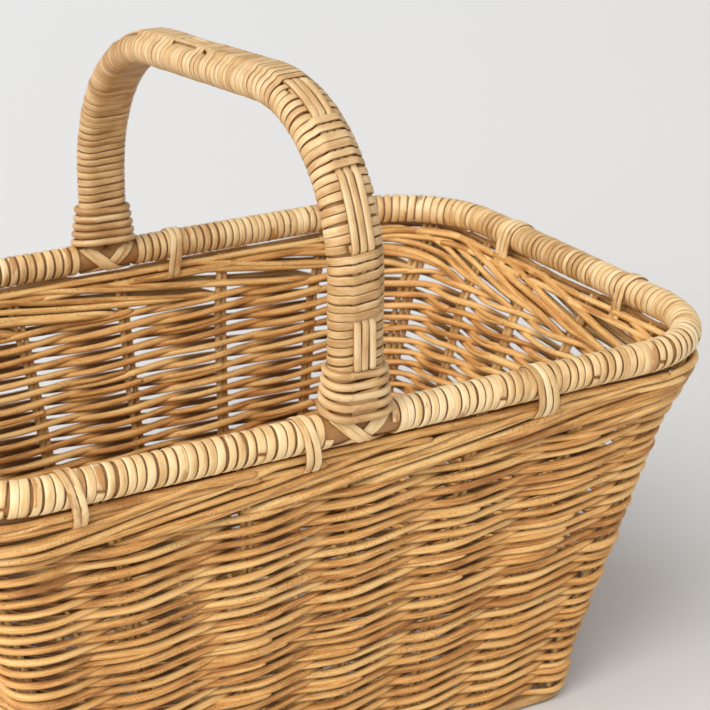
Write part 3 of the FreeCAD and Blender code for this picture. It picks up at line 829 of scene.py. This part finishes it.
def handle_wrap():
    """Peel wound round both poles, now over and now under the three strands."""
    piece = Piece("handle_peel_turns", HANDLE_PEEL, "rattan_peel", "handle_wrap")
    turns = int(HANDLE_LENGTH / HANDLE_PITCH)
    cuts = np.linspace(0, turns, PEEL_LENGTHS + 1).astype(int)
    for first, last in zip(cuts, cuts[1:]):
        t = first + np.arange((last - first) * HANDLE_RINGS_PER_TURN) / HANDLE_RINGS_PER_TURN
        knots = np.arange(first, last + 1)
        s = t * HANDLE_LENGTH / turns + np.interp(t, knots, random.normal(0, 0.2 * MM, len(knots)))
        centre, outward, along, across = handle_place(s)
        flat, normal = stadium(2 * math.pi * t, POLE_R + 0.05 * MM)
        proud = np.abs(np.interp(t, knots, random.normal(0, 0.12 * MM, len(knots))))
        over = cover_at(np.round(t) * HANDLE_LENGTH / turns)
        zone = ease((STRAND_ZONE + 1.8 * MM - np.abs(flat[:, 0])) / (2.4 * MM))
        zone = zone * (normal[:, 1] > 0.2)
        lift = (proud + (STRAND_THICK + 0.1 * MM) * over * zone)[:, None]
        flat = flat + normal * lift
        path = centre + across * flat[:, :1] + outward * flat[:, 1:]
        facing = across * normal[:, :1] + outward * normal[:, 1:]
        slant = SLANT * np.sin(2 * math.pi * t + waves(t, 9.0, 0.8))
        path = path + along * slant[:, None]
        width = HANDLE_PITCH * np.interp(t, knots, random.uniform(0.84, 1.04, len(knots)))
        piece.strip(path, facing, width, PEEL * 0.97)
    piece.build()


def handle_strands():
    """Three flat strands along the outer face, going under and over the peel."""
    piece = Piece("handle_strand_runs", HANDLE_PEEL, "rattan_peel", "handle_strands")
    start = 20 * MM
    s = np.arange(start, HANDLE_LENGTH - start, 1.5 * MM)
    centre, outward, _, across = handle_place(s)
    covered = cover_at(s)
    for place in (-1, 0, 1):
        height = POLE_R + 0.08 * MM + (1 - covered) * (PEEL + 0.15 * MM)
        aside = place * STRAND_PITCH + waves(s, 60 * MM, 0.18 * MM)
        path = centre + outward * height[:, None] + across * aside[:, None]
        width = STRAND_WIDTH * (1 + waves(s, 45 * MM, 0.03))
        tone = 0.55 + 0.4 * random.random()
        piece.strip(path, outward, width, STRAND_THICK * 0.96, tone=tone, crown=0.6)
    piece.build()


COLLAR_RINGS = 5
COLLAR_GROWTH = 0.6 * MM         # of each lower turn
COLLAR_THICK = 2.3 * MM
COLLAR_DROOP = 4 * MM            # how much lower the lowest turn of a collar lies on its outer side


def collar(name, node, front):
    """Heavier turns round a foot, each lower one larger."""
    piece = Piece(name, HANDLE_PEEL, "rattan_peel", node)
    low, high = node_box(node)
    angle = 2 * math.pi * np.arange(64) / 64
    for ring in range(COLLAR_RINGS):
        z = low[2] + (high[2] - low[2]) * (ring + 0.5) / COLLAR_RINGS - FOOT_Z
        radius = SLEEVE_R + 0.15 * MM + COLLAR_GROWTH * (COLLAR_RINGS - 1 - ring)
        flat, normal = stadium(angle, radius)
        droop = COLLAR_DROOP * (1 + normal[:, 1]) / 2 * (COLLAR_RINGS - ring) / COLLAR_RINGS
        droop = droop + 0.6 * MM * np.sin(angle + random.uniform(-0.5, 0.5)) * random.uniform(0.3, 1.0)
        s = z - droop if front else HANDLE_LENGTH - z + droop
        centre, outward, _, across = handle_place(s)
        path = centre + across * flat[:, :1] + outward * flat[:, 1:]
        facing = across * normal[:, :1] + outward * normal[:, 1:]
        piece.strip(path, facing, random.uniform(3.5, 3.9) * MM, COLLAR_THICK, closed=True, crown=0.9)
    piece.build()


CROSS_HALF = 12 * MM             # half the length of rim that the crossed strips span
CROSS_STRIP = 4.0 * MM
CROSS_PITCH = 4.1 * MM
CROSS_THICK = 1.1 * MM
CROSS_START, CROSS_END = math.radians(62), math.radians(-242)    # angles round the rim, from outside
CROSS_LOW = 1.38                 # above 1 puts the crossing below the middle of each face


def cross_lashing(name, node, foot):
    """Crossed peel strips, in pairs, over the bare rim under a foot, on both of its faces."""
    piece = Piece(name, RIM_PEEL, "rattan_peel", node)
    outside = -1 if foot[1] < 0 else 1
    angle = np.linspace(CROSS_START, CROSS_END, 90)
    below = -math.pi / 2
    swing = np.where(angle > below, CROSS_START - angle, angle - CROSS_END)
    swing = (swing / (CROSS_START - below)) ** CROSS_LOW
    centre = np.array([foot[0], outside * RIM_PLAN[1], RIM_Z])
    outward = np.stack([0 * angle, outside * np.cos(angle), np.sin(angle)], -1)
    for mirror in (-1, 1):
        for twin in (-0.5, 0.5):
            x = mirror * CROSS_HALF * (2 * swing - 1)
            crossing = np.exp(-(x / (5.5 * MM)) ** 2) if mirror > 0 else 0 * x
            radius = RIM_POLE_R + 0.25 * MM + 1.15 * MM * crossing
            path = centre + outward * radius[:, None]
            path[:, 0] += x + twin * CROSS_PITCH
            piece.strip(path, outward, CROSS_STRIP, CROSS_THICK)
    piece.build()


# --- base ---------------------------------------------------------------------------------------

def base_frame():
    """The rod that the basket stands on, round the foot of the wall."""
    piece = Piece("base_frame_rod", BASE, "rattan_pole", "base_frame")
    low, high = node_box("base_frame")
    radius = high[0] - FOOT_LENGTH
    s = np.arange(0, foot_length(), ROD_STEP * 1.3)
    x, y, nx, ny = rounded(tuple(np.full_like(s, v) for v in (FOOT_LENGTH, FOOT_WIDTH, FOOT_CORNER)), s)
    path = np.stack([x, y, np.full_like(x, high[2] - radius)], -1)
    around = 2 * math.pi * s / foot_length()
    bumpy = radius * (0.96 + 0.02 * np.sin(9 * around) + 0.015 * np.sin(23 * around + 1))
    # under places painted shade on the rod's underside
    piece.rod(path, bumpy, np.stack([nx, ny, 0 * nx], -1), closed=True, flatten=0.93, under=0.7)
    piece.build()


def foot_length():
    return 4 * (FOOT_LENGTH + FOOT_WIDTH - 2 * FOOT_CORNER) + 2 * math.pi * FOOT_CORNER


STICK_LOW, STICK_HIGH = node_box("base_sticks")
STICK_R = (STICK_HIGH[2] - STICK_LOW[2]) / 2
STICK_Z = (STICK_HIGH[2] + STICK_LOW[2]) / 2
STICKS = 9
BASE_WEAVER_R = 1.6 * MM
BASE_PITCH = 5.0 * MM
BASE_TUCK = 1.5 * MM             # how far the base rods run in under the wall
STICK_Y = np.linspace(STICK_LOW[1] + STICK_R, STICK_HIGH[1] - STICK_R, STICKS)


def base_sticks():
    """Rods along the bottom, side by side."""
    piece = Piece("base_stick_rods", BASE, "rattan_base", "base_sticks")
    x = np.arange(STICK_LOW[0], STICK_HIGH[0], ROD_STEP * 1.5)
    for y in STICK_Y:
        path = np.stack([x, y + waves(x, 120 * MM, 0.3 * MM), STICK_Z + 0 * x], -1)
        piece.rod(path, STICK_R * 0.95 * (1 + waves(x, 50 * MM, 0.03)), (0, 0, 1.0))
    piece.build()


def base_weavers():
    """Rods woven over and under the sticks, alternately, out to the foot of the wall."""
    piece = Piece("base_weaver_rods", BASE, "rattan_base", "base_weavers")
    low, high = node_box("base_weavers")
    radius = BASE_WEAVER_R
    first = low[0] + radius - BASE_PITCH
    last = high[0] - radius + BASE_PITCH
    rows = int(round((last - first) / BASE_PITCH)) + 1
    pitch = STICK_Y[1] - STICK_Y[0]
    y = np.arange(low[1] - BASE_TUCK, high[1] + BASE_TUCK, ROD_STEP)
    for row, x in enumerate(np.linspace(first, last, rows)):
        side = 1 if row % 2 else -1
        rise = side * (STICK_R + radius + 0.05 * MM) * np.cos(math.pi * (y - STICK_Y[0]) / pitch)
        path = np.stack([x + waves(y, 70 * MM, 0.25 * MM), y, STICK_Z + rise * 0.98], -1)
        piece.rod(path, radius * random.uniform(0.9, 1.0), (0, 0, 1.0))
    piece.build()


def build_basket():
    base_frame()
    base_sticks()
    base_weavers()
    stakes("side_stake_rods", "side_stakes", False)
    stakes("corner_stake_rods", "corner_stakes", True)
    for number, node in enumerate(COURSES):
        weave_course(number, node)
    border_rods("border_outside_rods", "border_rods_outer", True)
    border_rods("border_inside_rods", "border_rods_inner", False)
    rim_wrap()
    rim_lashings()
    handle_wrap()
    handle_strands()
    collar("collar_front_turns", "handle_collar_front", True)
    collar("collar_back_turns", "handle_collar_back", False)
    cross_lashing("cross_front_strips", "cross_lashing_front", FRONT_FOOT)
    cross_lashing("cross_back_strips", "cross_lashing_back", BACK_FOOT)


def finish_cad_nodes():
    """CAD nodes that stay in sight get their own materials."""
    for node, material in (("rim_pole", POLE), ("handle_pole_left", POLE),
                           ("handle_pole_right", POLE), ("handle_nails", STEEL)):
        for place in frame["nodes"][node].material_slots:
            place.material = material


# --- studio -------------------------------------------------------------------------------------

def floor():
    """Plain pale floor, far wider than the camera's view, with painted shade making it a little
    darker towards the front.
    """
    n = Nodes("studio_floor")
    place = n.add("ShaderNodeTexCoord").outputs["Object"]
    tint = n.noise(n.scaled(place, (3, 3, 3)), 2, 0.5)
    # painted shade: the floor's colour darkens towards the front, in place of light falling off over the
    # floor
    near = n.add("ShaderNodeVectorMath", operation="DOT_PRODUCT")
    n.link(place, near.inputs[0])
    near.inputs[1].default_value = (0.20, -0.95, 0)
    painted_falloff = n.math("ADD", n.span(near.outputs["Value"], -1.4, 0.2), n.math("MULTIPLY", tint, 0.05))
    n.link(n.ramp(painted_falloff, ((0.0, (0.82, 0.82, 0.82)), (1.0, (0.725, 0.71, 0.685)))),
           n.shader.inputs["Base Color"])
    n.shader.inputs["Roughness"].default_value = 0.9
    half = 6.0                   # metres
    mesh = bpy.data.meshes.new("studio_floor")
    mesh.from_pydata([(-half, -half, 0), (half, -half, 0), (half, half, 0), (-half, half, 0)], [],
                     [(0, 1, 2, 3)])
    mesh.materials.append(n.material)
    made = bpy.data.objects.new("studio_floor", mesh)
    bpy.context.scene.collection.objects.link(made)


def area_light(name, place, target, size, power, colour):
    light = bpy.data.lights.new(name, "AREA")
    light.shape = "RECTANGLE"
    light.size, light.size_y = size
    light.energy = power
    light.color = colour
    made = bpy.data.objects.new(name, light)
    made.location = place
    made.rotation_euler = (Vector(target) - Vector(place)).to_track_quat("-Z", "Y").to_euler()
    bpy.context.scene.collection.objects.link(made)


def seen_from(azimuth, elevation):
    """Direction from the basket; azimuth 0 is the front and grows towards the right."""
    return Vector((math.sin(azimuth) * math.cos(elevation),
                   -math.cos(azimuth) * math.cos(elevation), math.sin(elevation)))


def sun_light(name, azimuth, elevation, strength, spread, colour):
    light = bpy.data.lights.new(name, "SUN")
    light.energy = strength
    light.angle = math.radians(spread)
    light.color = colour
    made = bpy.data.objects.new(name, light)
    towards = seen_from(math.radians(azimuth), math.radians(elevation))
    made.rotation_euler = towards.to_track_quat("Z", "Y").to_euler()
    bpy.context.scene.collection.objects.link(made)


def world():
    sky = bpy.data.worlds.new("studio_world")
    sky.use_nodes = True
    sky.node_tree.nodes["Background"].inputs["Color"].default_value = (0.95, 0.97, 1.0, 1)
    sky.node_tree.nodes["Background"].inputs["Strength"].default_value = 0.36
    bpy.context.scene.world = sky


AZIMUTH, ELEVATION = math.radians(-31.31), math.radians(21.21)
DISTANCE = 1.2586
TARGET = Vector((0.1344, 0.0995, 0.1236))
LENS = 110.96
ROLL = math.radians(-0.5)
F_STOP = 40


def camera():
    back = seen_from(AZIMUTH, ELEVATION)
    lens = bpy.data.cameras.new("photo_view")
    lens.lens = LENS
    lens.sensor_width = 36
    lens.dof.use_dof = True
    focus = bpy.data.objects.new("focus", None)
    focus.location = FRONT_FOOT.tolist()
    bpy.context.scene.collection.objects.link(focus)
    lens.dof.focus_object = focus
    lens.dof.aperture_fstop = F_STOP
    made = bpy.data.objects.new("photo_view", lens)
    made.location = TARGET + back * DISTANCE
    made.rotation_euler = (-back).to_track_quat("-Z", "Y").to_euler()
    made.rotation_euler.rotate_axis("Z", -ROLL)
    bpy.context.scene.collection.objects.link(made)
    bpy.context.scene.camera = made


def studio():
    floor()
    world()
    middle = (0, 0, 0.15)
    sun_light("key", -66, 46, 2.3, 62, (1.0, 0.985, 0.965))
    area_light("front_softbox", (-0.6, -2.6, 1.3), middle, (1.4, 1.4), 5, (1.0, 0.99, 0.98))
    area_light("backdrop_softbox", (-2.2, 2.2, 1.8), (-0.6, 1.6, 0), (1.2, 1.2), 16, (1.0, 1.0, 1.0))
    area_light("left_softbox", (-1.3, -0.7, 0.75), (0.2, 0, 0.12), (0.8, 0.8), 8, (1.0, 0.985, 0.96))
    area_light("right_softbox", (2.2, -1.4, 1.5), (0.3, 0, 0), (1.6, 1.6), 12, (1.0, 0.99, 0.98))
    camera()
    view = bpy.context.scene.view_settings
    view.view_transform = "Standard"
    view.look = "None"


build_basket()
finish_cad_nodes()
studio()
